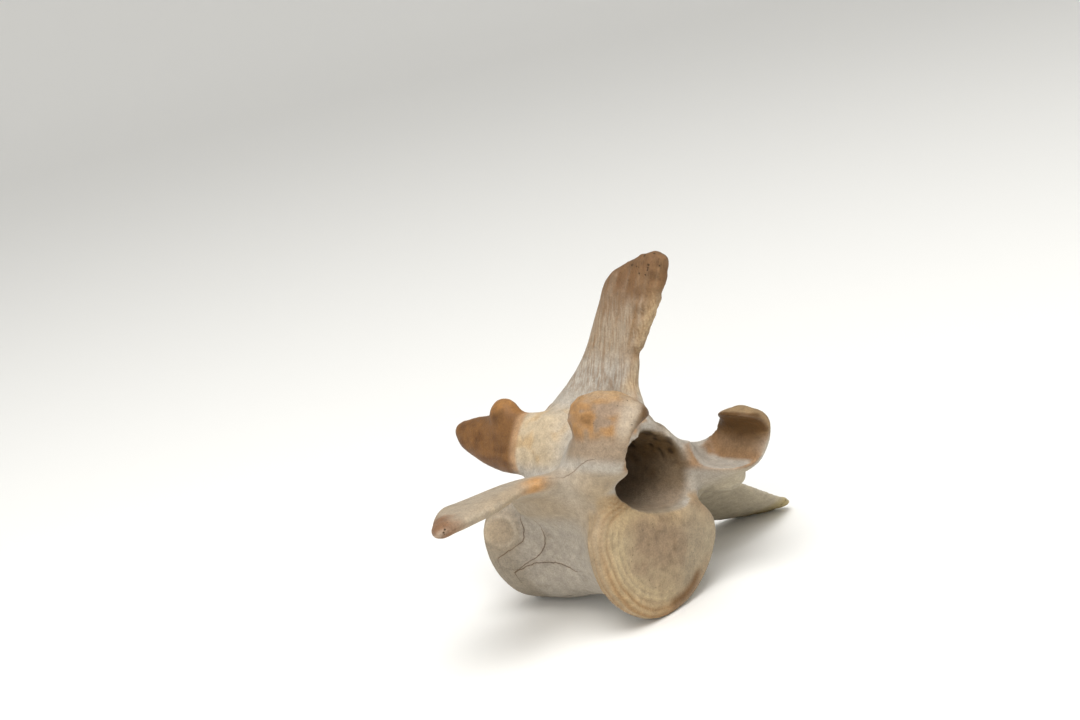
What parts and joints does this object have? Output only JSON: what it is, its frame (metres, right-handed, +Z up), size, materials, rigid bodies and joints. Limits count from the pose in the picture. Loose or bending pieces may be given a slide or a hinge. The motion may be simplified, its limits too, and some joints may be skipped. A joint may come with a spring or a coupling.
{
  "type": "elk lumbar vertebra",
  "caption": "Dry lumbar vertebra of an elk at life size, lying on its body and one transverse process, with its canal open from end to end.",
  "frame": {"origin": "on the floor, under the centre of the bounding box", "axes": "+Z up; -Y towards the animal's head; +X towards the animal's left, onto which side the bone is rolled"},
  "size_m": [0.1472, 0.102, 0.1067],
  "materials": {
    "bone_pale": "dry weathered bone, pale grey-white, matte",
    "bone_tan": "dry bone, yellow-tan, matte",
    "bone_brown": "dry bone stained brown, matte"
  },
  "bodies": {
    "root": {"centrum": "bone_pale", "cranial_endplate": "bone_tan", "caudal_endplate": "bone_tan", "neural_arch": "bone_pale", "spinous_process": "bone_brown", "transverse_process_left": "bone_pale", "transverse_process_right": "bone_pale", "cranial_articular_process_left": "bone_tan", "cranial_articular_process_right": "bone_tan", "caudal_articular_process_left": "bone_brown", "caudal_articular_process_right": "bone_brown"}
  },
  "joints": []
}
